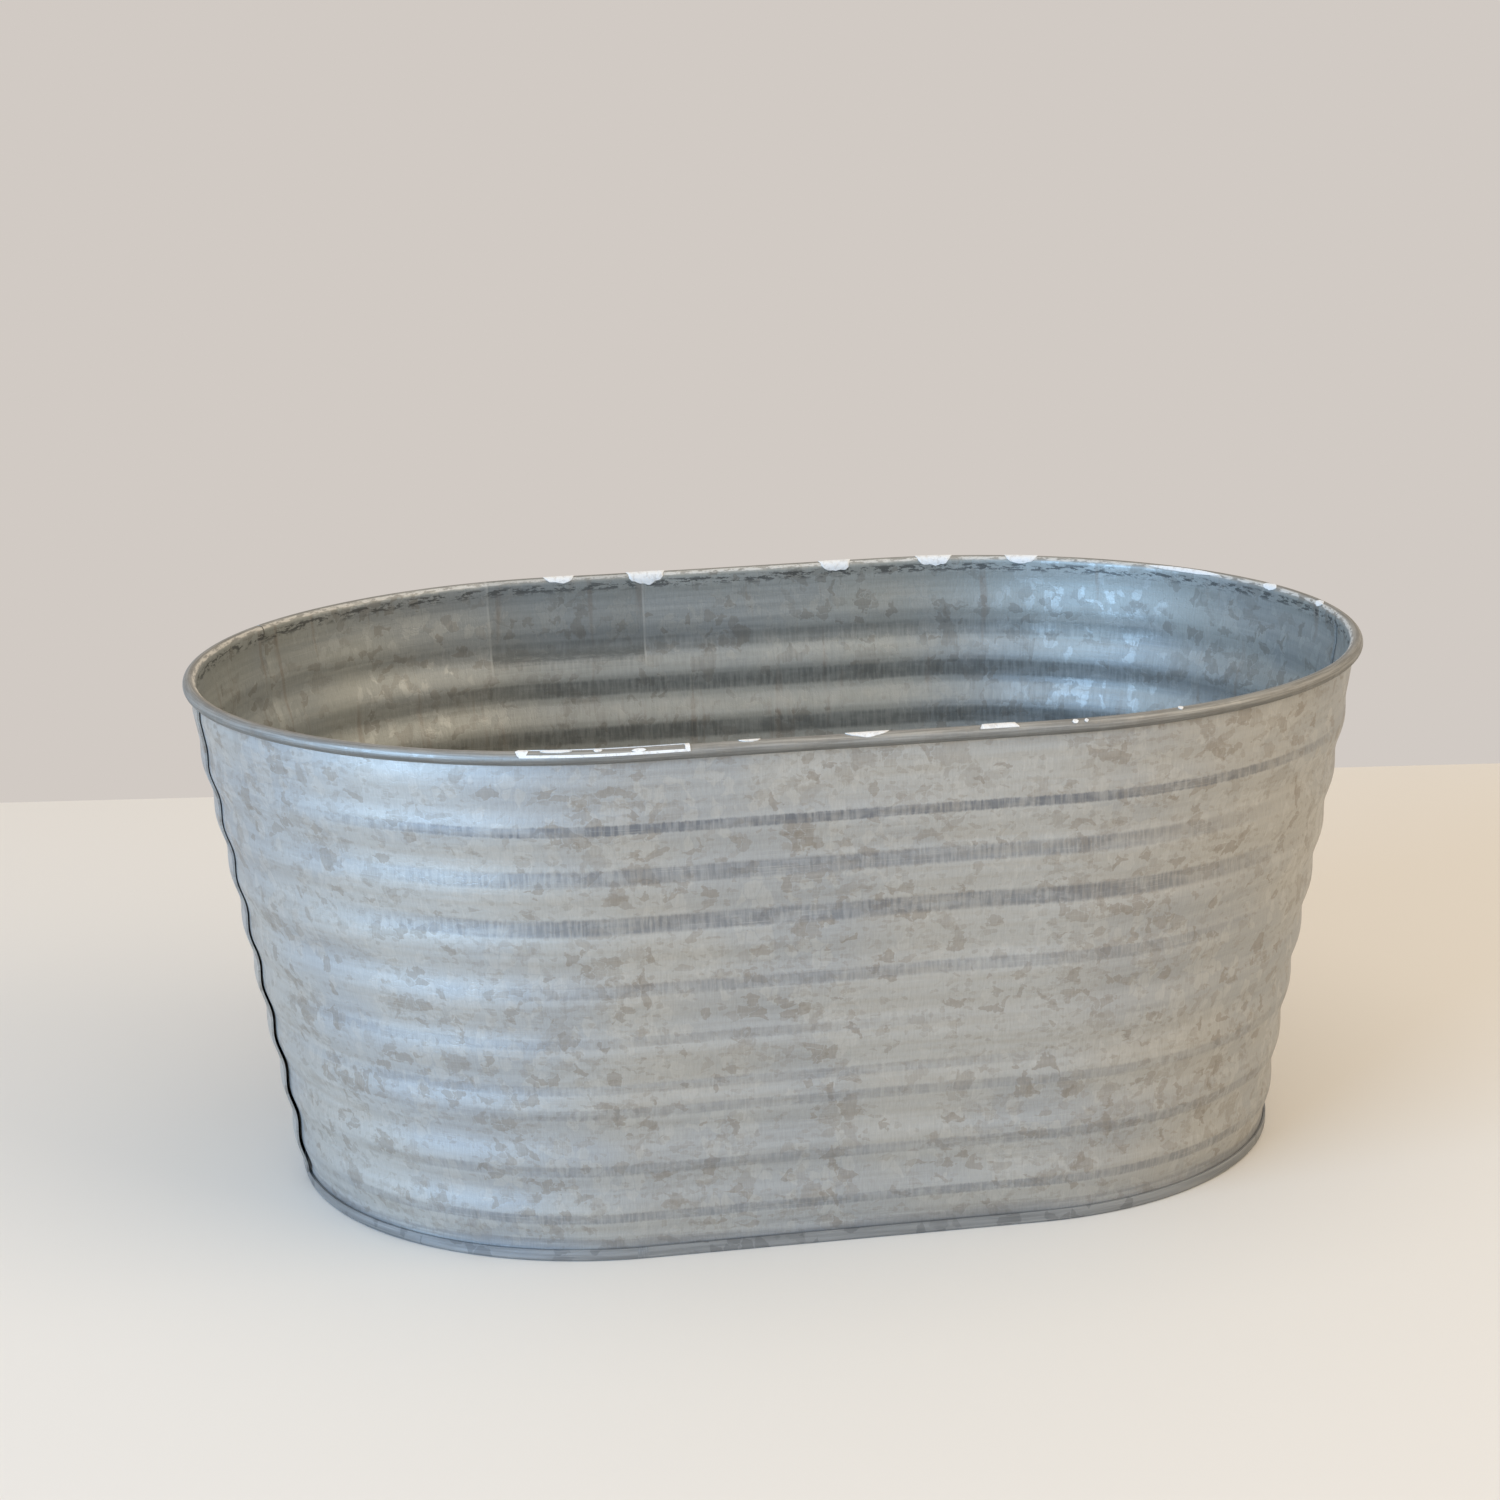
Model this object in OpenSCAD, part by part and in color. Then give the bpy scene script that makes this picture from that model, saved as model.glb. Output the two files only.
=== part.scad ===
// Small oval trough of galvanised sheet steel.
// Two ribbed wall sheets lap over each other at the round ends, their top edge is rolled
// outwards over a wire, and the rim of the base is folded round their lower edge.
// The origin is the centre of the footprint on the floor, +X runs along the trough,
// +Z is up and the front faces -Y. Angles past the middle of an end run away from the sheet's own side.

/* [Body] */
// Length of the straight sides, which is also the distance between the centres of the round ends
side_l = 90; // [30:1:200]
// Outer radius of the wall at the foot, inside the hem
foot_r = 73.1; // [60:0.1:85]
// Outer radius of the wall just under the rolled rim
rim_r = 92.4; // [86:0.1:115]
// Height from the floor to the top of the rolled rim
height = 122.8; // [100:0.1:180]

/* [Sheet] */
// Thickness of the wall sheets, measured level
sheet_t = 0.5; // [0.4:0.05:0.8]
// Thickness of the base sheet
base_t = 0.5; // [0.4:0.05:0.8]

/* [Ribs] */
// Number of rolled ribs up the wall
rib_count = 8; // [4:1:12]
// How far a rib stands out of the wall
rib_depth = 0.8; // [0.3:0.1:1.5]
// Plain upright band at the foot, which the hem grips
foot_band = 4.4; // [4:0.1:9]
// Plain band at the top, from the highest rib to the top of the rim
rim_band = 13; // [11:0.5:30]
// Upright part of the plain band, straight under the rolled rim
neck_h = 4; // [1:0.5:6]

/* [Rim] */
// Diameter of the wire inside the rolled rim
wire_d = 2; // [1.4:0.1:3]
// Clearance round the wire inside the roll
wire_gap = 0.05; // [0.02:0.01:0.1]
// How much of the lower inner quarter of the roll stays open, in degrees
roll_open = 70; // [50:5:85]
// Gap between the two ends of the wire, in the middle of the back
wire_end_gap = 1; // [0.4:0.1:3]

/* [Seams] */
// How far the front sheet's plain edge runs past the middle of the left end, in degrees
left_edge = 35; // [0:1:45]
// How far the back sheet laps over the front sheet at the left end, in degrees
left_lap = 43; // [8:1:60]
// How far the back sheet's plain edge runs past the middle of the right end, in degrees
right_edge = 4; // [0:1:45]
// How far the front sheet laps over the back sheet at the right end, in degrees
right_lap = 13; // [8:1:60]
// Clearance between the two sheets in a lap
lap_gap = 0.1; // [0.05:0.05:0.3]
// Clearance between a sheet's plain edge and the step of the other sheet
edge_gap = 0.3; // [0.2:0.1:1]
// Length of the step that carries a sheet out over the other one
step_l = 2; // [1:0.5:4]
// Clearance of a lap from the rolled rim above it and from the hem below it
lap_end_gap = 0.3; // [0.2:0.1:1]

/* [Base] */
// Height of the hem that is folded up round the foot
hem_h = 2.8; // [2:0.1:3.4]
// Clearance between the wall and each leg of the hem
hem_gap = 0.1; // [0.05:0.05:0.2]
// Depth of the flat on which the hem rests
foot_flat = 0.1; // [0.05:0.01:0.2]
// Height of the underside of the floor above the ground
floor_z = 3; // [1.6:0.1:8]

/* [Hidden] */
$fn = 96;
rib_steps = 10;

// Rolled rim: the inside of the wall runs on as the outside of the roll
roll_bore = wire_d + 2 * wire_gap;
roll_d = roll_bore + 2 * sheet_t;
roll_r = rim_r - sheet_t + roll_d / 2;
roll_z = height - roll_d / 2;

// Folded hem: a channel round the lower edge of the wall
channel_r = sheet_t / 2 + hem_gap;
hem_r = channel_r + base_t;
hem_mid_r = foot_r - sheet_t / 2;
hem_z = hem_r - foot_flat;

// Wall heights: the plain foot band, the ribs, the sloping plain band and the upright neck
neck_z = height - roll_d - neck_h;
rib_low = foot_band;
rib_high = height - rim_band;
rib_pitch = (rib_high - rib_low) / rib_count;
rib_heights = [for (i = [0 : rib_count * rib_steps]) rib_low + i * rib_pitch / rib_steps];

// Laps lie between the hem and the rolled rim
lap_low = hem_h + lap_end_gap;
lap_high = height - roll_d - lap_end_gap;
lap_out = sheet_t + lap_gap;

sheet_colour = [0.66, 0.65, 0.62];
base_colour = [0.58, 0.60, 0.61];
wire_colour = [0.50, 0.50, 0.50];

function taper_share(z) = min(1, max(0, (z - foot_band) / (neck_z - foot_band)));
function rib_share(z) = (1 - cos(360 * (z - rib_low) / rib_pitch)) / 2;
function rib(z) = z <= rib_low || z >= rib_high ? 0 : rib_depth * rib_share(z);
function wall_r(z) = foot_r + (rim_r - foot_r) * taper_share(z) + rib(z);
function degrees_at(length, r) = length / r * 180 / PI;
function between(low, high) = [low, for (z = rib_heights) if (z > low && z < high) z, neck_z, high];

// Strip of wall section between two heights, from inner to outer distance off the wall's outer face
module strip(low, high, inner, outer) {
    z_up = between(low, high);
    z_down = [for (i = [len(z_up) - 1 : -1 : 0]) z_up[i]];
    polygon(concat(
        [for (z = z_up) [wall_r(z) + outer, z]],
        [for (z = z_down) [wall_r(z) + inner, z]]
    ));
}

// Rolled edge, open at its lower inner quarter
module roll_section() {
    translate([roll_r, roll_z]) difference() {
        circle(d = roll_d);
        circle(d = roll_bore);
        polygon([
            [0, 0], [-roll_d, 0], [-roll_d, -roll_d],
            [-roll_d * tan(90 - roll_open), -roll_d]
        ]);
    }
}

module plain_section() {
    strip(hem_z, roll_z, -sheet_t, 0);
    roll_section();
}

module lap_section() {
    strip(lap_low, lap_high, lap_gap, lap_out);
}

module step_section() {
    strip(lap_low, lap_high, -sheet_t, lap_out);
}

// Sweeps a section about the axis of a round end, between two angles
module round_end(from, to) {
    rotate([0, 0, from]) rotate_extrude(angle = to - from) children();
}

// Sweeps a section along the straight side at +Y
module straight_side() {
    translate([-side_l / 2, 0, 0]) rotate([90, 0, 90])
        linear_extrude(height = side_l) children();
}

// One wall sheet, drawn as the back one. Its plain edge is at the right end and its lap at the left end.
module wall_sheet(own_edge, other_edge, lap) {
    step_end = 180 - other_edge - degrees_at(edge_gap, foot_r);
    step_start = step_end - degrees_at(step_l, foot_r);
    lap_end = 180 - other_edge + lap;
    translate([side_l / 2, 0, 0]) round_end(90, -own_edge) plain_section();
    straight_side() plain_section();
    translate([-side_l / 2, 0, 0]) {
        round_end(90, step_end) plain_section();
        round_end(step_start, step_end) step_section();
        round_end(step_start, lap_end) lap_section();
    }
}

module front_wall() {
    color(sheet_colour) rotate([0, 0, 180]) wall_sheet(left_edge, right_edge, right_lap);
}

module back_wall() {
    color(sheet_colour) wall_sheet(right_edge, left_edge, left_lap);
}

// Floor, inner leg, rounded fold with its flat, and outer leg of the base
module base_section() {
    inner_leg = hem_mid_r - hem_r;
    outer_leg = hem_mid_r + channel_r;
    translate([0, floor_z]) square([inner_leg + base_t, base_t]);
    translate([inner_leg, hem_z]) square([base_t, floor_z + base_t - hem_z]);
    translate([outer_leg, hem_z]) square([base_t, hem_h - hem_z]);
    intersection() {
        translate([hem_mid_r, hem_z]) difference() {
            circle(r = hem_r);
            circle(r = channel_r);
        }
        translate([inner_leg, 0]) square([2 * hem_r, hem_z]);
    }
}

module base_pan() {
    color(base_colour) for (turn = [0, 180]) rotate([0, 0, turn]) {
        translate([side_l / 2, 0, 0]) round_end(-90, 90) base_section();
        straight_side() base_section();
    }
}

module wire_section() {
    translate([roll_r, roll_z]) circle(d = wire_d);
}

module rim_wire() {
    color(wire_colour) difference() {
        for (turn = [0, 180]) rotate([0, 0, turn]) {
            translate([side_l / 2, 0, 0]) round_end(-90, 90) wire_section();
            straight_side() wire_section();
        }
        translate([0, roll_r, roll_z]) cube([wire_end_gap, 2 * wire_d, 2 * wire_d], center = true);
    }
}

front_wall();
back_wall();
base_pan();
rim_wire();
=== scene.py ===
import math

import bmesh
import bpy
from mathutils import Matrix, Quaternion, Vector, noise


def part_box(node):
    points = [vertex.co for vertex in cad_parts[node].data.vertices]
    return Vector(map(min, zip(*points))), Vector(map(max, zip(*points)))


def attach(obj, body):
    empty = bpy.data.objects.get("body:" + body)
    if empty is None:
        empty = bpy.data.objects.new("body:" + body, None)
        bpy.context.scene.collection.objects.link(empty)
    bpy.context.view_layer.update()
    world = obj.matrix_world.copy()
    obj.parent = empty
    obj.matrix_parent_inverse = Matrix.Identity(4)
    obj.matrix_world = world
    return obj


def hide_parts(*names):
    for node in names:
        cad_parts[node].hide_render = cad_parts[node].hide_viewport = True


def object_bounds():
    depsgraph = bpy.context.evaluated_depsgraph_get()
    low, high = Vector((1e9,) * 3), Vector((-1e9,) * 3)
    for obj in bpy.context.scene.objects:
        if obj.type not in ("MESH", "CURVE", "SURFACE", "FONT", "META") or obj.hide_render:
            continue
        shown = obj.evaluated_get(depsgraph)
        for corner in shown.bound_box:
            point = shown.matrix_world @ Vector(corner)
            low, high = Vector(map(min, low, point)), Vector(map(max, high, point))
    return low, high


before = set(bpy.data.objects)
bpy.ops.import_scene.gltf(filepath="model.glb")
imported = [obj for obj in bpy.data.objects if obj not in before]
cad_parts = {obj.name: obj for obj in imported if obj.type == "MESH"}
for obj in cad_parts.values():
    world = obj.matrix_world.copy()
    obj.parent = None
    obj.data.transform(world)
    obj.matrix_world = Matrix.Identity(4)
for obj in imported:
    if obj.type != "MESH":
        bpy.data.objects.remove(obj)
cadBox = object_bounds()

print("frame loaded:", ", ".join(sorted(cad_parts)))

# Lengths are in millimetres until a mesh is finished, and mm turns them into metres
mm = 0.001
baseLow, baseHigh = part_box("base_pan")
wireLow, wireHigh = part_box("rim_wire")

# Sizes read off the frame, so that every new piece lies where the solids lie
half = ((baseHigh.x - baseLow.x) - (baseHigh.y - baseLow.y)) / 2 / mm  # half a straight side
wireRadius = (wireHigh.z - wireLow.z) / 2 / mm
rollZ = (wireHigh.z + wireLow.z) / 2 / mm
rollR = wireHigh.y / mm - wireRadius
rollOuter = cadBox[1].y / mm - rollR
height = cadBox[1].z / mm
hemOuter = baseHigh.y / mm
floorTop = baseHigh.z / mm

sheet = {
    "thick": 0.5,
    "gap": 0.1,
    "hem": 2.8,
    "lapOut": 0.6,
    "lapLow": 3.1,
    "lapHigh": 119.4,
    "step": 2.0,
}
midR = rollOuter - sheet["thick"] / 2  # radius of the rolled sheet's middle
rollTurn = 290  # degrees of the roll, from the wall over the wire
footR = hemOuter - sheet["thick"] - sheet["gap"]
rimR = rollR - rollOuter + sheet["thick"]
neckZ = height - 2 * rollOuter - 4
refR = 84  # radius at which lengths round the ends are measured
endArc = math.pi * refR
trackLength = 4 * half + 2 * endArc

ribs = {"count": 8, "deep": 0.8, "low": 4.4, "high": height - 13, "steps": 12}
ribPitch = (ribs["high"] - ribs["low"]) / ribs["count"]


def smooth(share):
    share = min(1, max(0, share))
    return share * share * (3 - 2 * share)


def wallRadius(z):  # outer face of the wall, measured from the axis of an end
    share = min(1, max(0, (z - ribs["low"]) / (neckZ - ribs["low"])))
    swell = 0
    if ribs["low"] < z < ribs["high"]:
        swell = ribs["deep"] * (1 - math.cos(2 * math.pi * (z - ribs["low"]) / ribPitch)) / 2
    return footR + (rimR - footR) * share + swell


def sheetLine(v):  # middle of the wall sheet: v is the height up to the roll, then the length round it
    if v <= rollZ:
        return wallRadius(v) - sheet["thick"] / 2, v
    turn = math.pi - (v - rollZ) / midR
    return rollR + midR * math.cos(turn), rollZ + midR * math.sin(turn)


def alongTrack(x, y):  # length round the trough, from the middle of the front to the right
    if abs(x) <= half:
        return x if y < 0 else 2 * half + endArc - x
    if x > half:
        return half + refR * (math.atan2(y, x - half) + math.pi / 2)
    turn = math.atan2(y, x + half) % (2 * math.pi)
    return 3 * half + endArc + refR * (turn - math.pi / 2)


def trackPoint(u):  # point of the middle line and the outward direction at u
    u = (u + half) % trackLength - half
    if u <= half:
        return Vector((u, 0, 0)), Vector((0, -1, 0))
    if u <= half + endArc:
        turn = (u - half) / refR - math.pi / 2
        return Vector((half, 0, 0)), Vector((math.cos(turn), math.sin(turn), 0))
    if u <= 3 * half + endArc:
        return Vector((2 * half + endArc - u, 0, 0)), Vector((0, 1, 0))
    turn = (u - 3 * half - endArc) / refR + math.pi / 2
    return Vector((-half, 0, 0)), Vector((math.cos(turn), math.sin(turn), 0))


handling = {
    "rimPush": 0.35,  # how far the rim has been pushed in
    "wallPush": 0.7,
    "span": 46,
    "rimDip": 0.22,
    "rimLeast": 0.22,  # the least that the rim is moved, which leaves room for the chips on it
    # place along the track, height, half width, half height and depth of the dents
    "dents": [
        (24, 74, 30, 16, 0.8), (-62, 34, 26, 18, 0.7), (96, 60, 22, 24, 0.6), (-120, 84, 24, 20, 0.7),
        (300, 70, 34, 22, 0.9), (372, 40, 28, 20, 0.8), (430, 88, 26, 16, 0.5), (196, 52, 22, 22, 0.6),
    ],
}


def handled(point):  # a point of the new sheet, moved to where years of handling have left it
    centre = Vector((max(-half, min(half, point.x)), 0, 0))
    out = (point - centre) * Vector((1, 1, 0))
    if out.length < 1:
        return point
    out.normalize()
    place = point / handling["span"]
    rise = smooth(point.z / 30)
    rim = smooth((point.z - 96) / 24)
    push = handling["wallPush"] * (1 - rim) + handling["rimPush"] * rim
    push *= 0.5 + 0.5 * noise.noise(place + Vector((3.1, 7.7, 0.4)))
    push += handling["rimLeast"] * rim
    u = alongTrack(point.x, point.y)
    for du, dz, wide, tall, deep in handling["dents"]:
        far = math.hypot((u - du) / wide, (point.z - dz) / tall)
        push += deep * (1 - smooth(far)) * (1 - rim)
    dip = handling["rimDip"] * (0.5 + 0.5 * noise.noise(place * 0.7 + Vector((9.2, 1.4, 5.5))))
    dip = (dip + handling["rimLeast"]) * rim
    return point - out * push * rise - Vector((0, 0, dip))


def sweep(bm, line, legs):  # carries a line round the track and gives back its last copy
    for kind, centre, amount, steps in legs:
        turning = kind == "round"
        made = bmesh.ops.spin(
            bm, geom=line, cent=(centre, 0, 0), axis=(0, 0, 1), steps=steps,
            angle=math.radians(amount) if turning else 0,
            dvec=(0, 0, 0) if turning else (amount / steps, 0, 0),
        )
        line = made["geom_last"]
    return line


def startLine(bm, values, section, centre, degrees):  # a section, stood up at an angle
    keep = bm.verts.layers.float.get("along") or bm.verts.layers.float.new("along")
    out = Vector((math.cos(math.radians(degrees)), math.sin(math.radians(degrees)), 0))
    verts = []
    for value in values:
        r, z = section(value)
        vert = bm.verts.new(Vector((centre, 0, z)) + out * r)
        vert[keep] = value
        verts.append(vert)
    return verts + [bm.edges.new(pair) for pair in zip(verts, verts[1:])]


def writeMap(bm, middle, flatTo=None):  # UV in metres: round the track and up the section, or flat
    keep = bm.verts.layers.float.get("along")
    layer = bm.loops.layers.uv.new("track")
    for face in bm.faces:
        level = flatTo is not None and all(vert[keep] <= flatTo for vert in face.verts)
        for loop in face.loops:
            if level:
                loop[layer].uv = (loop.vert.co.x * mm, loop.vert.co.y * mm)
                continue
            u = alongTrack(loop.vert.co.x, loop.vert.co.y)
            if u - middle > trackLength / 2:
                u -= trackLength
            loop[layer].uv = (u * mm, loop.vert[keep] * mm)


def finishPiece(bm, name, materials, nodes=(), thick=0, sharp=40, inside=0, even=True):
    for vert in bm.verts:
        vert.co = handled(vert.co) * mm
    mesh = bpy.data.meshes.new(name)
    bm.to_mesh(mesh)
    bm.free()
    piece = bpy.data.objects.new(name, mesh)
    bpy.context.scene.collection.objects.link(piece)
    for material in materials:
        mesh.materials.append(material)
    if thick:
        skin = piece.modifiers.new("thickness", "SOLIDIFY")
        skin.thickness = thick * mm
        skin.offset = 0
        skin.use_even_offset = even
        skin.material_offset = inside
        solid = bpy.data.meshes.new_from_object(piece.evaluated_get(bpy.context.evaluated_depsgraph_get()))
        piece.modifiers.clear()
        piece.data = solid
    piece.data.shade_smooth()
    piece.data.set_sharp_from_angle(angle=math.radians(sharp))
    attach(piece, "root")
    if nodes:
        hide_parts(*nodes)
    print("made", name, "with", len(piece.data.polygons), "faces")
    return piece


def newNode(tree, kind, settings=None, **sockets):
    node = tree.nodes.new("ShaderNode" + kind)
    for name, value in (settings or {}).items():
        setattr(node, name, value)
    for name, value in sockets.items():
        name = name.replace("_", " ")
        socket = node.inputs[int(name[1:])] if name[1:].isdigit() else node.inputs[name]
        if isinstance(value, bpy.types.NodeSocket):
            tree.links.new(value, socket)
        else:
            socket.default_value = value
    return node


def calc(tree, operation, *values, clamp=False):  # a Math node
    sockets = {f"n{i}": value for i, value in enumerate(values)}
    return newNode(tree, "Math", {"operation": operation, "use_clamp": clamp}, **sockets).outputs[0]


def stretched(tree, vector, x, y):  # the pattern's coordinates, scaled along and up the sheet
    return newNode(tree, "VectorMath", {"operation": "MULTIPLY"}, n0=vector, n1=(x, y, 1)).outputs[0]


def between(tree, value, low, high, start=0.0, end=1.0):  # smooth step of a value, as a mask
    node = newNode(
        tree, "MapRange", {"interpolation_type": "SMOOTHSTEP"}, Value=value, From_Min=low, From_Max=high,
        To_Min=start, To_Max=end,
    )
    return node.outputs["Result"]


def stripe(tree, value, low, full, fade, high):  # mask of a band with soft edges
    return calc(tree, "MULTIPLY", between(tree, value, low, full), between(tree, value, fade, high, 1, 0))


def grain(tree, vector, scale, detail=2, rough=0.55):
    node = newNode(
        tree, "TexNoise", {"noise_dimensions": "2D"},
        Vector=vector, Scale=scale, Detail=detail, Roughness=rough,
    )
    return node.outputs["Fac"]


def tint(tree, mask, under, over, kind="MIX"):  # lays one colour over another
    node = newNode(tree, "Mix", {"data_type": "RGBA", "blend_type": kind}, n0=mask, n6=under, n7=over)
    return node.outputs[2]


def newGroup(name, inputs, outputs):
    tree = bpy.data.node_groups.new(name, "ShaderNodeTree")
    for label, (kind, value) in inputs.items():
        socket = tree.interface.new_socket(label, in_out="INPUT", socket_type="NodeSocket" + kind)
        if value is not None:
            socket.default_value = value
    for label in outputs:
        tree.interface.new_socket(label, in_out="OUTPUT", socket_type="NodeSocketFloat")
    return tree, tree.nodes.new("NodeGroupInput").outputs, tree.nodes.new("NodeGroupOutput").inputs


def useGroup(tree, group, **sockets):
    node = tree.nodes.new("ShaderNodeGroup")
    node.node_tree = group
    for name, value in sockets.items():
        socket = node.inputs[name.replace("_", " ")]
        if isinstance(value, bpy.types.NodeSocket):
            tree.links.new(value, socket)
        else:
            socket.default_value = value
    return node.outputs


def flakeGroup():  # crystal flakes of the zinc: a Voronoi cell is a flake where its own value is low
    tree, given, gives = newGroup(
        "zincFlakes",
        {"Vector": ("Vector", None), "Size": ("Float", 3), "Share": ("Float", 0.2), "Ragged": ("Float", 1)},
        ["Flake", "Tone", "Edge"],
    )
    wander = newNode(
        tree, "TexNoise", {"noise_dimensions": "2D"},
        Vector=given["Vector"], Scale=0.22, Detail=3, Roughness=0.6,
    )
    centred = newNode(
        tree, "VectorMath", {"operation": "SUBTRACT"}, n0=wander.outputs["Color"], n1=(0.5, 0.5, 0.5)
    )
    reach = newNode(tree, "VectorMath", {"operation": "SCALE"}, n0=centred.outputs[0], Scale=given["Ragged"])
    moved = newNode(tree, "VectorMath", {"operation": "ADD"}, n0=given["Vector"], n1=reach.outputs[0])
    scale = calc(tree, "DIVIDE", 1.0, given["Size"])
    cells = newNode(
        tree, "TexVoronoi", {"voronoi_dimensions": "2D", "feature": "F1"},
        Vector=moved.outputs[0], Scale=scale,
    )
    border = newNode(
        tree, "TexVoronoi", {"voronoi_dimensions": "2D", "feature": "DISTANCE_TO_EDGE"},
        Vector=moved.outputs[0], Scale=scale,
    )
    value = newNode(tree, "SeparateColor", Color=cells.outputs["Color"])
    crowd = between(tree, grain(tree, given["Vector"], 0.045, 2), 0.36, 0.66, 0.25, 1.6)
    chosen = calc(tree, "LESS_THAN", value.outputs[0], calc(tree, "MULTIPLY", given["Share"], crowd))
    soft = between(tree, border.outputs["Distance"], 0.0, 0.09)
    tree.links.new(calc(tree, "MULTIPLY", chosen, soft), gives["Flake"])
    tree.links.new(value.outputs[1], gives["Tone"])
    tree.links.new(soft, gives["Edge"])
    return tree


def washGroup():  # marks that run along the sheet: broad wash streaks, fine scratches, and the upright grain
    tree, given, gives = newGroup(
        "sheetMarks", {"Vector": ("Vector", None)}, ["Wash", "Scratch", "Linen", "Cloud"]
    )
    wash = grain(tree, stretched(tree, given["Vector"], 0.02, 0.55), 1, 5, 0.62)
    thin = grain(tree, stretched(tree, given["Vector"], 0.035, 4.2), 1, 3, 0.6)
    where = grain(tree, given["Vector"], 0.06, 2)
    linen = grain(tree, stretched(tree, given["Vector"], 2.4, 0.35), 1, 3, 0.65)
    tree.links.new(between(tree, wash, 0.3, 0.7), gives["Wash"])
    scratch = calc(tree, "MULTIPLY", between(tree, thin, 0.6, 0.7), between(tree, where, 0.42, 0.6))
    tree.links.new(scratch, gives["Scratch"])
    tree.links.new(linen, gives["Linen"])
    tree.links.new(grain(tree, stretched(tree, given["Vector"], 0.018, 0.03), 1, 3, 0.5), gives["Cloud"])
    return tree


def bandGroup():  # one band of painted light along a rib, broken up by ticks: used for bands of painted shade and of painted highlight
    tree, given, gives = newGroup(
        "paintedLightBand",
        {
            "Vector": ("Vector", None), "Height": ("Float", 0), "Half Width": ("Float", 1),
            "Strength": ("Float", 1), "Middle": ("Float", 0), "Reach": ("Float", 100),
        },
        ["Band"],
    )
    split = newNode(tree, "SeparateXYZ", Vector=given["Vector"])
    waver = grain(tree, stretched(tree, given["Vector"], 0.02, 0), 1, 3)
    waver = calc(tree, "MULTIPLY", calc(tree, "SUBTRACT", waver, 0.5), 1.1)
    tick = grain(tree, stretched(tree, given["Vector"], 1.3, 0.1), 1, 2)
    tick = calc(tree, "MULTIPLY", calc(tree, "SUBTRACT", tick, 0.5), 0.6)
    line = calc(tree, "ADD", split.outputs[1], calc(tree, "ADD", waver, tick))
    off = calc(tree, "SUBTRACT", line, given["Height"])
    near = calc(tree, "DIVIDE", calc(tree, "ABSOLUTE", off), given["Half Width"])
    side = calc(tree, "ABSOLUTE", calc(tree, "SUBTRACT", split.outputs[0], given["Middle"]))
    side = calc(tree, "DIVIDE", side, given["Reach"])
    patchy = between(tree, grain(tree, stretched(tree, given["Vector"], 0.09, 0.3), 1, 3), 0.3, 0.6, 0.6, 1)
    ticks = grain(tree, stretched(tree, given["Vector"], 1.1, 0.12), 1, 2)
    patchy = calc(tree, "MULTIPLY", patchy, between(tree, ticks, 0.35, 0.65, 0.62, 1.15))
    kept = calc(tree, "MULTIPLY", between(tree, near, 0.7, 1.15, 1, 0), between(tree, side, 0.5, 1.2, 1, 0))
    kept = calc(tree, "MULTIPLY", kept, patchy)
    tree.links.new(calc(tree, "MULTIPLY", kept, given["Strength"]), gives["Band"])
    return tree


zincFlakes = flakeGroup()
sheetMarks = washGroup()
paintedLightBand = bandGroup()
print("shared shader groups ready")


def newMaterial(name):
    material = bpy.data.materials.new(name)
    material.use_nodes = True
    tree = material.node_tree
    tree.nodes.clear()
    place = newNode(tree, "UVMap", {"uv_map": "track"})
    flat = newNode(tree, "VectorMath", {"operation": "SCALE"}, n0=place.outputs[0], Scale=1 / mm)
    return material, tree, flat.outputs[0]


def flecked(tree, flakes, strength, under, over):  # flakes of uneven strength, laid over a colour
    uneven = between(tree, flakes["Tone"], 0, 1, 0.4 * strength, strength)
    return tint(tree, calc(tree, "MULTIPLY", flakes["Flake"], uneven), under, over)


def sheetRelief(tree, marks, flakes, share):  # height of the upright grain and of the flakes' borders
    linen = calc(tree, "MULTIPLY", marks["Linen"], share)
    return calc(tree, "ADD", linen, calc(tree, "MULTIPLY", flakes["Edge"], 0.25))


def dress(tree, colour, rough, metal, relief, depth):  # the one shader of a material
    bump = newNode(tree, "Bump", Height=relief, Strength=1.0, Distance=depth * mm)
    shader = newNode(
        tree, "BsdfPrincipled", Base_Color=colour, Roughness=rough, Metallic=metal, Normal=bump.outputs[0]
    )
    newNode(tree, "OutputMaterial", Surface=shader.outputs[0])


outside = {
    "zinc": (0.42, 0.395, 0.34, 1),
    "cool": (0.36, 0.355, 0.33, 1),
    "pale": (0.49, 0.47, 0.415, 1),
    "flake": (0.245, 0.205, 0.155, 1),
    # dark colour of the painted shade in the bands along the ribs, also laid towards the foot of the wall
    "band": (0.15, 0.155, 0.16, 1),
    # height, half width, strength, middle and reach along the front of the bands of painted shade along the
    # ribs
    "bands": [
        (104.4, 1.2, 1.0, 5, 120), (93.2, 1.9, 0.7, -5, 105), (81.8, 2.1, 0.8, 0, 110),
        (66.4, 1.5, 0.5, 10, 95), (54.0, 1.2, 0.3, -60, 90), (42.6, 1.2, 0.35, -50, 110),
        (36.8, 1.3, 0.4, 20, 130), (22.6, 1.4, 0.45, 20, 150), (10.6, 1.2, 0.6, 10, 160),
    ],
}


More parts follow.
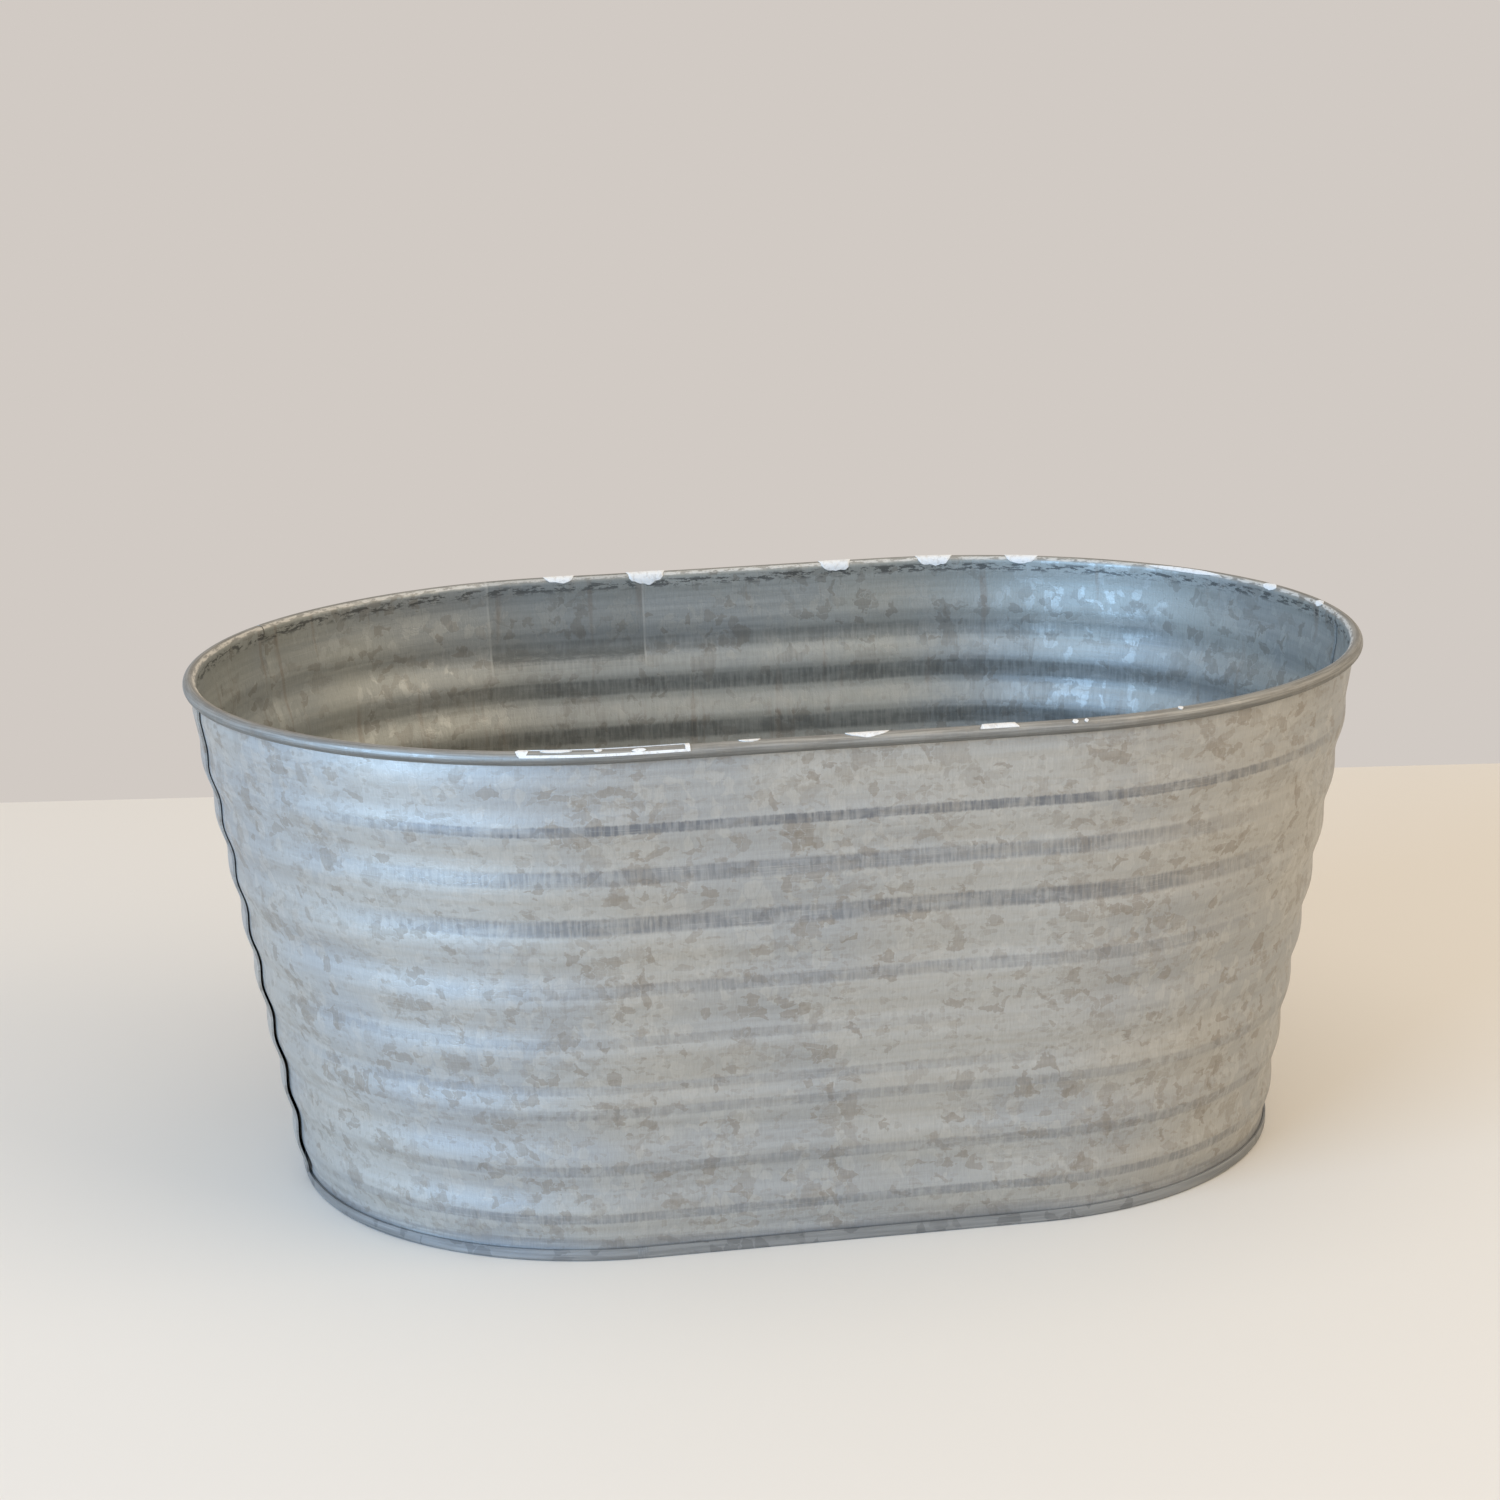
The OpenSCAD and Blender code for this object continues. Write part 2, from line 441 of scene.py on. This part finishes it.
def outsideMaterial():
    material, tree, flat = newMaterial("zinc_outside")
    marks = useGroup(tree, sheetMarks, Vector=flat)
    split = newNode(tree, "SeparateXYZ", Vector=flat)
    big = useGroup(tree, zincFlakes, Vector=flat, Size=5.0, Share=0.09, Ragged=8.0)
    mid = useGroup(tree, zincFlakes, Vector=stretched(tree, flat, 1, 1.2), Size=2.9, Share=0.2, Ragged=6.0)
    fine, wide = stretched(tree, flat, 1.1, 1.6), stretched(tree, flat, 1.3, 1)
    small = useGroup(tree, zincFlakes, Vector=fine, Size=1.5, Share=0.24, Ragged=2.5)
    bright = useGroup(tree, zincFlakes, Vector=wide, Size=3.6, Share=0.3, Ragged=2.5)
    colour = tint(tree, between(tree, marks["Cloud"], 0.35, 0.65), outside["zinc"], outside["cool"])
    colour = tint(tree, calc(tree, "MULTIPLY", bright["Flake"], 0.35), colour, outside["pale"])
    colour = tint(tree, calc(tree, "MULTIPLY", marks["Wash"], 0.28), colour, outside["pale"])
    for flakes, strength in ((small, 0.3), (mid, 0.5), (big, 0.5)):
        colour = flecked(tree, flakes, strength, colour, outside["flake"])
    # Bands of painted shade along the ribs, standing for the darker reflection on the rib slopes
    band = None
    for bandHeight, wide, strength, middle, reach in outside["bands"]:
        one = useGroup(
            tree, paintedLightBand, Vector=flat, Height=bandHeight, Half_Width=wide, Strength=strength,
            Middle=middle, Reach=reach,
        )["Band"]
        band = one if band is None else calc(tree, "MAXIMUM", band, one)
    colour = tint(tree, calc(tree, "MULTIPLY", band, 0.8), colour, outside["band"])
    colour = tint(tree, calc(tree, "MULTIPLY", marks["Scratch"], 0.35), colour, outside["pale"])
    foot = calc(tree, "ADD", split.outputs[1], calc(tree, "MULTIPLY", marks["Wash"], 2.0))
    colour = tint(tree, between(tree, foot, 3.5, 7.5, 0.5, 0), colour, outside["band"])
    linen = calc(tree, "ADD", 0.86, calc(tree, "MULTIPLY", marks["Linen"], 0.28))
    grey = newNode(tree, "CombineColor", Red=linen, Green=linen, Blue=linen)
    colour = tint(tree, 1.0, colour, grey.outputs[0], "MULTIPLY")
    rough = calc(tree, "ADD", 0.50, calc(tree, "MULTIPLY", marks["Wash"], 0.06))
    rough = calc(tree, "SUBTRACT", rough, calc(tree, "MULTIPLY", band, 0.06))
    rough = calc(tree, "SUBTRACT", rough, calc(tree, "MULTIPLY", bright["Flake"], 0.07))
    metal = calc(tree, "SUBTRACT", 0.62, calc(tree, "MULTIPLY", marks["Wash"], 0.12))
    relief = sheetRelief(tree, marks, mid, 0.5)
    relief = calc(tree, "SUBTRACT", relief, calc(tree, "MULTIPLY", band, 0.5))
    dress(tree, colour, rough, metal, relief, 0.05)
    return material


inside = {
    "zinc": (0.325, 0.325, 0.28, 1),
    "cool": (0.275, 0.285, 0.265, 1),
    "pale": (0.44, 0.435, 0.385, 1),
    "flake": (0.19, 0.17, 0.135, 1),
    "lip": (0.60, 0.56, 0.475, 1),
    "roll": (0.22, 0.205, 0.175, 1),
    "worn": (0.36, 0.34, 0.295, 1),
    "shade": (0.13, 0.135, 0.12, 1),
    # near black, for the dashes under the lip and for the painted shade on the roll's outer turn
    "dash": (0.05, 0.05, 0.045, 1),
    "stain": (0.22, 0.16, 0.11, 1),
    # the patch along the track of the back wall, and the heights of its lower edge and groove
    "patch": {"from": 374, "to": 414, "low": 98, "groove": 101.5},
    # height, half width, strength, middle and reach of the dark bands of painted shade inside the back wall
    "bands": [
        (103.7, 2.2, 0.6, 330, 120), (92.8, 2.3, 0.85, 330, 120), (80.5, 2.3, 0.85, 330, 120),
        (67.5, 2.2, 0.7, 330, 120),
    ],
    # pale bands of painted highlight between the dark ones, with the same columns
    "paintedHighlightBands": [(98.3, 2.4, 0.6, 330, 120), (86.6, 2.6, 0.8, 330, 120), (74.5, 2.2, 0.7, 330, 120)],
}


def insideMaterial():
    material, tree, flat = newMaterial("zinc_inside")
    marks = useGroup(tree, sheetMarks, Vector=flat)
    split = newNode(tree, "SeparateXYZ", Vector=flat)
    big = useGroup(tree, zincFlakes, Vector=flat, Size=5.5, Share=0.1, Ragged=9.0)
    mid = useGroup(tree, zincFlakes, Vector=flat, Size=2.6, Share=0.24, Ragged=6.0)
    wide = stretched(tree, flat, 1.3, 1)
    bright = useGroup(tree, zincFlakes, Vector=wide, Size=3.4, Share=0.35, Ragged=5.0)
    colour = tint(tree, between(tree, marks["Cloud"], 0.35, 0.65), inside["zinc"], inside["cool"])
    colour = tint(tree, calc(tree, "MULTIPLY", bright["Flake"], 0.3), colour, inside["pale"])
    colour = tint(tree, calc(tree, "MULTIPLY", marks["Wash"], 0.3), colour, inside["pale"])
    for flakes, strength in ((mid, 0.5), (big, 0.5)):
        colour = flecked(tree, flakes, strength, colour, inside["flake"])
    drip = grain(tree, stretched(tree, flat, 0.22, 0.02), 1, 3, 0.55)
    colour = tint(tree, between(tree, drip, 0.62, 0.74, 0, 0.35), colour, inside["stain"])
    linen = calc(tree, "ADD", 0.86, calc(tree, "MULTIPLY", marks["Linen"], 0.28))
    grey = newNode(tree, "CombineColor", Red=linen, Green=linen, Blue=linen)
    colour = tint(tree, 1.0, colour, grey.outputs[0], "MULTIPLY")
    # The roll: dark dashes under the lip, a worn cream line on it, then the browned outer turn, darkened
    # round its outer and lower side as painted shade
    v = split.outputs[1]
    broken = grain(tree, stretched(tree, flat, 0.28, 0.9), 1, 4, 0.7)
    roll = between(tree, v, rollZ + 0.2, rollZ + 1.0)
    lined = grain(tree, stretched(tree, flat, 0.05, 2.6), 1, 4, 0.7)
    rubbed = tint(tree, between(tree, lined, 0.42, 0.6, 0, 0.8), inside["roll"], inside["worn"])
    # painted shade: the roll's outer and lower turn darkened towards the near-black dash colour
    under = between(tree, v, rollZ + 3.6, rollZ + 4.8, 0, 0.55)
    rubbed = tint(tree, under, rubbed, inside["dash"])
    colour = tint(tree, calc(tree, "MULTIPLY", roll, 0.85), colour, rubbed)
    dash = stripe(tree, v, rollZ - 3.2, rollZ - 1.6, rollZ - 0.6, rollZ + 0.1)
    dash = calc(tree, "MULTIPLY", dash, between(tree, broken, 0.5, 0.56, 0, 0.75))
    colour = tint(tree, dash, colour, inside["dash"])
    waver = calc(tree, "ADD", v, calc(tree, "MULTIPLY", broken, 0.9))
    lip = stripe(tree, waver, rollZ + 0.9, rollZ + 1.2, rollZ + 1.7, rollZ + 2.1)
    lip = calc(tree, "MULTIPLY", lip, between(tree, broken, 0.42, 0.52, 0.15, 0.85))
    colour = tint(tree, lip, colour, inside["lip"])
    colour = tint(tree, calc(tree, "MULTIPLY", marks["Scratch"], 0.3), colour, inside["pale"])
    # A patch on the back wall: a fine light line at each end, a groove across it darkened as painted shade,
    # and the whole patch a little darker
    u = split.outputs[0]
    patch = inside["patch"]
    inPatch = stripe(tree, u, patch["from"], patch["from"] + 0.3, patch["to"] - 0.3, patch["to"])
    inPatch = calc(tree, "MULTIPLY", inPatch, between(tree, v, patch["low"], patch["low"] + 0.3))
    low, high = patch["groove"] - 2.0, patch["groove"] + 1.0
    groove = stripe(tree, v, low, low + 0.4, high, high + 1.2)
    groove = calc(tree, "MULTIPLY", groove, between(tree, broken, 0.35, 0.6, 0.35, 0.75))
    colour = tint(tree, calc(tree, "MULTIPLY", inPatch, groove), colour, inside["shade"])
    colour = tint(tree, calc(tree, "MULTIPLY", inPatch, 0.25), colour, inside["shade"])
    # Bands along the ribs inside: painted shade in the dark ones, painted highlight in the pale ones
    for bands, shade in ((inside["bands"], inside["shade"]), (inside["paintedHighlightBands"], inside["pale"])):
        for bandHeight, wide, strength, middle, reach in bands:
            band = useGroup(
                tree, paintedLightBand, Vector=flat, Height=bandHeight, Half_Width=wide, Strength=strength,
                Middle=middle, Reach=reach,
            )["Band"]
            colour = tint(tree, calc(tree, "MULTIPLY", band, 0.8), colour, shade)
    ends = [calc(tree, "ABSOLUTE", calc(tree, "SUBTRACT", u, patch[side])) for side in ("from", "to")]
    line = between(tree, calc(tree, "MINIMUM", *ends), 0.15, 0.4, 0.4, 0)
    line = calc(tree, "MULTIPLY", line, between(tree, v, patch["low"] - 1, patch["low"]))
    colour = tint(tree, line, colour, inside["pale"])
    rough = calc(tree, "ADD", 0.52, calc(tree, "MULTIPLY", marks["Wash"], 0.08))
    rough = calc(tree, "SUBTRACT", rough, calc(tree, "MULTIPLY", bright["Flake"], 0.08))
    metal = calc(tree, "SUBTRACT", 0.58, calc(tree, "MULTIPLY", lip, 0.55))
    relief = sheetRelief(tree, marks, mid, 0.5)
    dress(tree, colour, rough, metal, relief, 0.05)
    return material


hem = {
    "zinc": (0.235, 0.24, 0.235, 1),
    "pale": (0.46, 0.455, 0.43, 1),
    "dark": (0.085, 0.085, 0.085, 1),
}


def hemMaterial():
    material, tree, flat = newMaterial("zinc_base")
    marks = useGroup(tree, sheetMarks, Vector=flat)
    mid = useGroup(tree, zincFlakes, Vector=flat, Size=3.4, Share=0.22, Ragged=3.0)
    big = useGroup(tree, zincFlakes, Vector=flat, Size=7.0, Share=0.16, Ragged=5.0)
    colour = tint(tree, calc(tree, "MULTIPLY", marks["Wash"], 0.5), hem["zinc"], hem["pale"])
    colour = tint(tree, calc(tree, "MULTIPLY", mid["Flake"], 0.32), colour, hem["dark"])
    colour = tint(tree, calc(tree, "MULTIPLY", big["Flake"], 0.22), colour, hem["dark"])
    colour = tint(tree, calc(tree, "MULTIPLY", marks["Scratch"], 0.5), colour, hem["pale"])
    rough = calc(tree, "ADD", 0.38, calc(tree, "MULTIPLY", marks["Wash"], 0.14))
    relief = sheetRelief(tree, marks, mid, 0.4)
    dress(tree, colour, rough, 0.75, relief, 0.05)
    return material


zincOutside = outsideMaterial()
zincInside = insideMaterial()
zincBase = hemMaterial()
print("zinc materials ready")

walls = {
    # plain edge, turn of the first end, turn of the second end to its step, and the lap, in degrees
    "front_wall": {"start": 145, "first": 125, "second": 84.2, "lap": 14.8, "lift": 0.15, "middle": 0},
    "back_wall": {
        "start": -4, "first": 94, "second": 53.2, "lap": 44.8, "lift": 0.75, "middle": trackLength / 2,
    },
    "degreesPerStep": 1.45,
    "straightSteps": 44,
    "rollSteps": 22,
}


def wallValues():  # heights and roll lengths at which the section has a point
    low = sheet["thick"] / 2 + 0.6
    values = [low, 1.9, sheet["lapLow"]]
    count = ribs["count"] * ribs["steps"]
    values += [ribs["low"] + i * (ribs["high"] - ribs["low"]) / count for i in range(count + 1)]
    values += [(ribs["high"] + neckZ) / 2, neckZ, (neckZ + sheet["lapHigh"]) / 2]
    values += [sheet["lapHigh"], rollZ - 0.9]
    arc = math.radians(rollTurn) * midR
    values += [rollZ + i * arc / walls["rollSteps"] for i in range(walls["rollSteps"] + 1)]
    return values


def makeWall(name):
    shape = walls[name]
    back = name == "back_wall"
    near = half if back else -half  # centre of the end where the sheet starts
    steps = lambda degrees: max(2, round(degrees / walls["degreesPerStep"]))
    bm = bmesh.new()
    line = startLine(bm, wallValues(), sheetLine, near, shape["start"])
    line = sweep(bm, line, [
        ("round", near, shape["first"], steps(shape["first"])),
        ("straight", 0, -2 * near, walls["straightSteps"]),
        ("round", -near, shape["second"], steps(shape["second"])),
    ])
    # From the step on, the sheet rises over the other one. The roll ends there, and a strip runs on
    stepDegrees = math.degrees(sheet["step"] / footR)
    line = sweep(bm, line, [("round", -near, stepDegrees, 3)])
    keep = bm.verts.layers.float.get("along")
    inLap = lambda vert: sheet["lapLow"] - 0.01 <= vert[keep] <= sheet["lapHigh"] + 0.01
    strip = [part for part in line if isinstance(part, bmesh.types.BMEdge) and all(map(inLap, part.verts))]
    strip += list({vert for edge in strip for vert in edge.verts})
    sweep(bm, strip, [("round", -near, shape["lap"], steps(shape["lap"]))])
    bm.verts.ensure_lookup_table()
    sideFace = min(bm.faces, key=lambda face: (face.calc_center_median() - Vector((0, -near, 60))).length)
    centre = Vector((-near, 0, 0))
    stepStart = (90 if back else -90) + shape["second"]
    for vert in bm.verts:
        out = (vert.co - centre) * Vector((1, 1, 0))
        turn = math.degrees(math.atan2(out.y, out.x))
        past = (turn - stepStart + 180) % 360 - 180
        onFarEnd = vert.co.x * near < -half * abs(near)
        if onFarEnd and past > 0 and inLap(vert) and past < stepDegrees + shape["lap"] + 1:
            rise = sheet["lapOut"] * smooth(past / stepDegrees)
            tip = smooth((past - stepDegrees - shape["lap"] + 16) / 16)
            lowDown = 1 - 0.75 * smooth((vert[keep] - 12) / 80)
            vert.co += out.normalized() * (rise + shape["lift"] * tip * lowDown)
    writeMap(bm, shape["middle"])
    outward = Vector((sideFace.calc_center_median().x, sideFace.calc_center_median().y, 0))
    sideFace.normal_update()
    if sideFace.normal.dot(outward) < 0:
        bmesh.ops.reverse_faces(bm, faces=bm.faces[:])
    return finishPiece(
        bm, name + "_sheet", [zincOutside, zincInside], [name], sheet["thick"], inside=1
    )


frontSheet = makeWall("front_wall")
backSheet = makeWall("back_wall")

base = {
    "foldR": 0.6,
    "foldZ": 0.75,
    "crimp": 0.12,
    "foldSteps": 8,
    "floorSteps": 16,
    "legPoints": (0.8, 1.6),
    "hemPoints": (0.9, 1.6),
    "endSteps": 96,
}
# Lengths along the section of the base: to the inner leg, to the start of the fold and to its end
innerR = footR - sheet["thick"] / 2 - base["foldR"]
floorZ = floorTop - sheet["thick"] / 2
foldStart = innerR + floorZ - base["foldZ"]
foldEnd = foldStart + math.pi * base["foldR"]


def baseSection(value):  # floor from its middle line, inner leg, fold and outer leg
    radius = base["foldR"]
    if value <= innerR:
        return value, floorZ
    if value <= foldStart:
        return innerR, floorZ - (value - innerR)
    if value <= foldEnd:
        turn = math.pi + (value - foldStart) / radius
        return innerR + radius + radius * math.cos(turn), base["foldZ"] + radius * math.sin(turn)
    return innerR + 2 * radius, base["foldZ"] + value - foldEnd


def makeBase():
    values = [innerR * i / base["floorSteps"] for i in range(base["floorSteps"] + 1)]
    values += [innerR + length for length in base["legPoints"]]
    share = (foldEnd - foldStart) / base["foldSteps"]
    values += [foldStart + share * i for i in range(base["foldSteps"] + 1)]
    values += [foldEnd + length for length in base["hemPoints"]] + [foldEnd + sheet["hem"] - base["foldZ"]]
    bm = bmesh.new()
    line = startLine(bm, values, baseSection, half, -90)
    sweep(bm, line, [
        ("round", half, 180, base["endSteps"]), ("straight", 0, -2 * half, walls["straightSteps"]),
        ("round", -half, 180, base["endSteps"]), ("straight", 0, 2 * half, walls["straightSteps"]),
    ])
    bmesh.ops.remove_doubles(bm, verts=bm.verts[:], dist=0.002)
    bmesh.ops.dissolve_degenerate(bm, edges=bm.edges[:], dist=0.001)
    keep = bm.verts.layers.float.get("along")
    for vert in bm.verts:
        over = vert[keep] - foldEnd
        if over > 0:  # the hem's free edge is crimped a little unevenly
            centre = Vector((max(-half, min(half, vert.co.x)), 0, 0))
            out = ((vert.co - centre) * Vector((1, 1, 0))).normalized()
            wave = noise.noise(Vector((alongTrack(vert.co.x, vert.co.y) / 7, 0, 2.5)))
            vert.co += out * base["crimp"] * (0.3 + wave) * smooth(over / 2)
    writeMap(bm, trackLength / 2 - half, innerR + 0.1)
    bmesh.ops.recalc_face_normals(bm, faces=bm.faces[:])
    piece = finishPiece(bm, "base_sheet", [zincBase], ["base_pan"], sheet["thick"])
    for vert in piece.data.vertices:
        vert.co.z = max(0, vert.co.z)  # the fold stands on its flat
    return piece


baseSheet = makeBase()


wire = {"gap": 1.0, "sides": 12, "endSteps": 96, "sideSteps": 44}


def makeWire():
    bm = bmesh.new()
    keep = bm.verts.layers.float.new("along")
    ring = bmesh.ops.create_circle(bm, segments=wire["sides"], radius=wireRadius)["verts"]
    for i, vert in enumerate(ring):
        vert[keep] = i * 0.5
    turned = Matrix.Translation((-wire["gap"] / 2, rollR, rollZ)) @ Matrix.Rotation(math.radians(90), 4, "Y")
    bmesh.ops.transform(bm, matrix=turned, verts=bm.verts[:])
    line = bm.verts[:] + bm.edges[:]
    toEnd = ("straight", 0, -half + wire["gap"] / 2, wire["sideSteps"] // 2)
    last = sweep(bm, line, [
        toEnd, ("round", -half, 180, wire["endSteps"]), ("straight", 0, 2 * half, wire["sideSteps"]),
        ("round", half, 180, wire["endSteps"]), toEnd,
    ])
    for end in (line, last):
        bmesh.ops.contextual_create(bm, geom=[part for part in end if isinstance(part, bmesh.types.BMEdge)])
    writeMap(bm, 0)
    bmesh.ops.recalc_face_normals(bm, faces=bm.faces[:])
    return finishPiece(bm, "wire_ring", [zincBase], ["rim_wire"])


wireRing = makeWire()


chips = {
    "thick": 0.18,
    "white": (0.74, 0.71, 0.64, 1),
    "dirt": (0.50, 0.45, 0.38, 1),
    # from and to along the track, lower and upper edge round the roll from where it starts, and the outline
    "flakes": [
        (392.0, 400.0, 0.2, 2.0, "hang"), (367.8, 378.0, -1.3, 2.2, "hang"),
        (317.6, 326.2, -0.9, 2.1, "hang"), (291.9, 300.7, -0.5, 2.1, "hang"),
        (271.0, 279.0, -0.1, 2.0, "hang"), (221.5, 242.0, 0.5, 1.5, "lens"),
        (-67.8, -35.0, 3.3, 3.75, "bar"), (-67.8, -35.0, 1.35, 1.75, "bar"),
        (-68.6, -66.2, 1.3, 3.75, "lens"), (-36.0, -35.0, 1.3, 3.75, "bar"),
        (-64.0, -58.0, 2.1, 2.8, "lens"), (-24.6, -20.0, 1.4, 2.6, "lens"),
        (-2.0, 7.4, 0.6, 3.2, "lens"), (26.8, 35.2, 0.9, 3.2, "hang"), (46.6, 47.8, 2.4, 3.3, "lens"),
        (49.0, 49.8, 2.5, 3.2, "lens"), (69.0, 70.1, 1.9, 2.9, "lens"), (-54.0, -52.4, 2.1, 2.9, "lens"),
        (-47.0, -44.2, 2.6, 3.3, "lens"), (202.0, 207.0, 0.2, 1.9, "lens"), (181.0, 184.5, 0.4, 2.0, "lens"),
    ],
}


def chipMaterial():
    material, tree, flat = newMaterial("white_chip")
    marks = useGroup(tree, sheetMarks, Vector=flat)
    speck = between(tree, grain(tree, flat, 0.9, 4, 0.7), 0.5, 0.66, 0, 0.5)
    colour = tint(tree, speck, chips["white"], chips["dirt"])
    relief = calc(tree, "ADD", grain(tree, flat, 1.4, 4, 0.6), calc(tree, "MULTIPLY", marks["Linen"], 0.3))
    dress(tree, colour, 0.7, 0.0, relief, 0.12)
    return material


def onSheet(u, v, proud):  # a point on the side of the sheet that faces into the trough and over the roll
    centre, out = trackPoint(u)
    r, z = sheetLine(v)
    if v <= rollZ:
        return centre + out * (r - proud) + Vector((0, 0, z))
    turn = math.pi - (v - rollZ) / midR
    return centre + out * (r + proud * math.cos(turn)) + Vector((0, 0, z + proud * math.sin(turn)))


def makeChips():
    bm = bmesh.new()
    keep = bm.verts.layers.float.new("along")
    for start, end, low, high, outline in chips["flakes"]:
        across = max(6, round((end - start) / 0.7))
        made = bmesh.ops.create_grid(bm, x_segments=across, y_segments=5, size=1)["verts"]
        for vert in made:
            a, b = vert.co.x, vert.co.y
            ragged = 0.22 * noise.noise(Vector((start + a * 2.9, b * 1.7, 4.2)))
            full = {"lens": max(0, 1 - a * a) ** 0.6, "hang": max(0, 1 - a ** 4) ** 0.7, "bar": 1.0}[outline]
            middle = (low + high) / 2 if outline != "hang" else high
            share = b if outline != "hang" else (b - 1)
            reach = (high - low) / 2 * share * max(0.04, full) * (1 + ragged)
            v = rollZ + middle + reach
            u = (start + end) / 2 + a * (end - start) / 2
            vert.co = onSheet(u, v, sheet["thick"] / 2 + chips["thick"] / 2)
            vert[keep] = v
    bm.normal_update()
    writeMap(bm, 0)
    return finishPiece(
        bm, "rim_chips", [chipMaterial()], thick=chips["thick"], sharp=50, even=False
    )


rimChips = makeChips()
print("pieces ready")

scenery = {
    "floor": (0.765, 0.712, 0.62, 1),
    "wall": (0.638, 0.591, 0.552, 1),
    "back": 0.326,
    "reach": 4.0,
    "cameraPlace": (-0.1239, -0.7209, 0.2842),
    "heading": (0.1598, 0.9872),
    "pitch": 0.2521,
    "roll": 0.0263,
    "lens": 75.59,
    # place, width and height, power and colour of the soft lights
    "lamps": {
        "window_light": ((-1.5, -1.0, 0.45), (1.3, 0.8), 47, (0.34, 0.60, 1.0)),
        "room_light": ((1.5, -0.9, 1.2), (1.6, 1.2), 16, (1.0, 0.89, 0.76)),
        "ceiling_light": ((0.1, -0.3, 1.8), (1.6, 1.6), 7.0, (1.0, 0.93, 0.84)),
    },
}


def makeStage():
    bm = bmesh.new()
    bmesh.ops.create_grid(bm, x_segments=2, y_segments=2, size=scenery["reach"])
    shift = Vector((0, scenery["back"] - scenery["reach"], 0))
    turn = Matrix.Rotation(-math.atan2(*scenery["heading"]), 4, "Z")
    bmesh.ops.transform(bm, matrix=turn @ Matrix.Translation(shift), verts=bm.verts[:])
    mesh = bpy.data.meshes.new("floor")
    bm.to_mesh(mesh)
    bm.free()
    floor = bpy.data.objects.new("floor", mesh)
    bpy.context.scene.collection.objects.link(floor)
    material = bpy.data.materials.new("painted_floor")
    material.use_nodes = True
    shader = material.node_tree.nodes["Principled BSDF"]
    shader.inputs["Base Color"].default_value = scenery["floor"]
    shader.inputs["Roughness"].default_value = 0.7
    mesh.materials.append(material)
    world = bpy.data.worlds.new("room")
    bpy.context.scene.world = world
    world.use_nodes = True
    world.node_tree.nodes["Background"].inputs["Color"].default_value = scenery["wall"]
    world.node_tree.nodes["Background"].inputs["Strength"].default_value = 1.0


def makeLamp(name, place, size, power, colour):
    lamp = bpy.data.lights.new(name, "AREA")
    lamp.shape = "RECTANGLE"
    lamp.size, lamp.size_y = size
    lamp.energy = power
    lamp.color = colour
    holder = bpy.data.objects.new(name, lamp)
    holder.location = place
    holder.rotation_mode = "QUATERNION"
    holder.rotation_quaternion = (Vector((0, 0, 0.06)) - Vector(place)).to_track_quat("-Z", "Y")
    bpy.context.scene.collection.objects.link(holder)


def makeCamera():
    lens = bpy.data.cameras.new("camera")
    lens.lens = scenery["lens"]
    lens.sensor_width = 36
    camera = bpy.data.objects.new("camera", lens)
    east, north = scenery["heading"]
    level, down = math.cos(scenery["pitch"]), math.sin(scenery["pitch"])
    look = Vector((level * east, level * north, -down))
    camera.location = scenery["cameraPlace"]
    camera.rotation_mode = "QUATERNION"
    camera.rotation_quaternion = look.to_track_quat("-Z", "Y") @ Quaternion((0, 0, 1), -scenery["roll"])
    bpy.context.scene.collection.objects.link(camera)
    bpy.context.scene.camera = camera


makeStage()
for lampName, values in scenery["lamps"].items():
    makeLamp(lampName, *values)
makeCamera()
bpy.context.scene.view_settings.view_transform = "Standard"
print("stage, lights and camera ready")
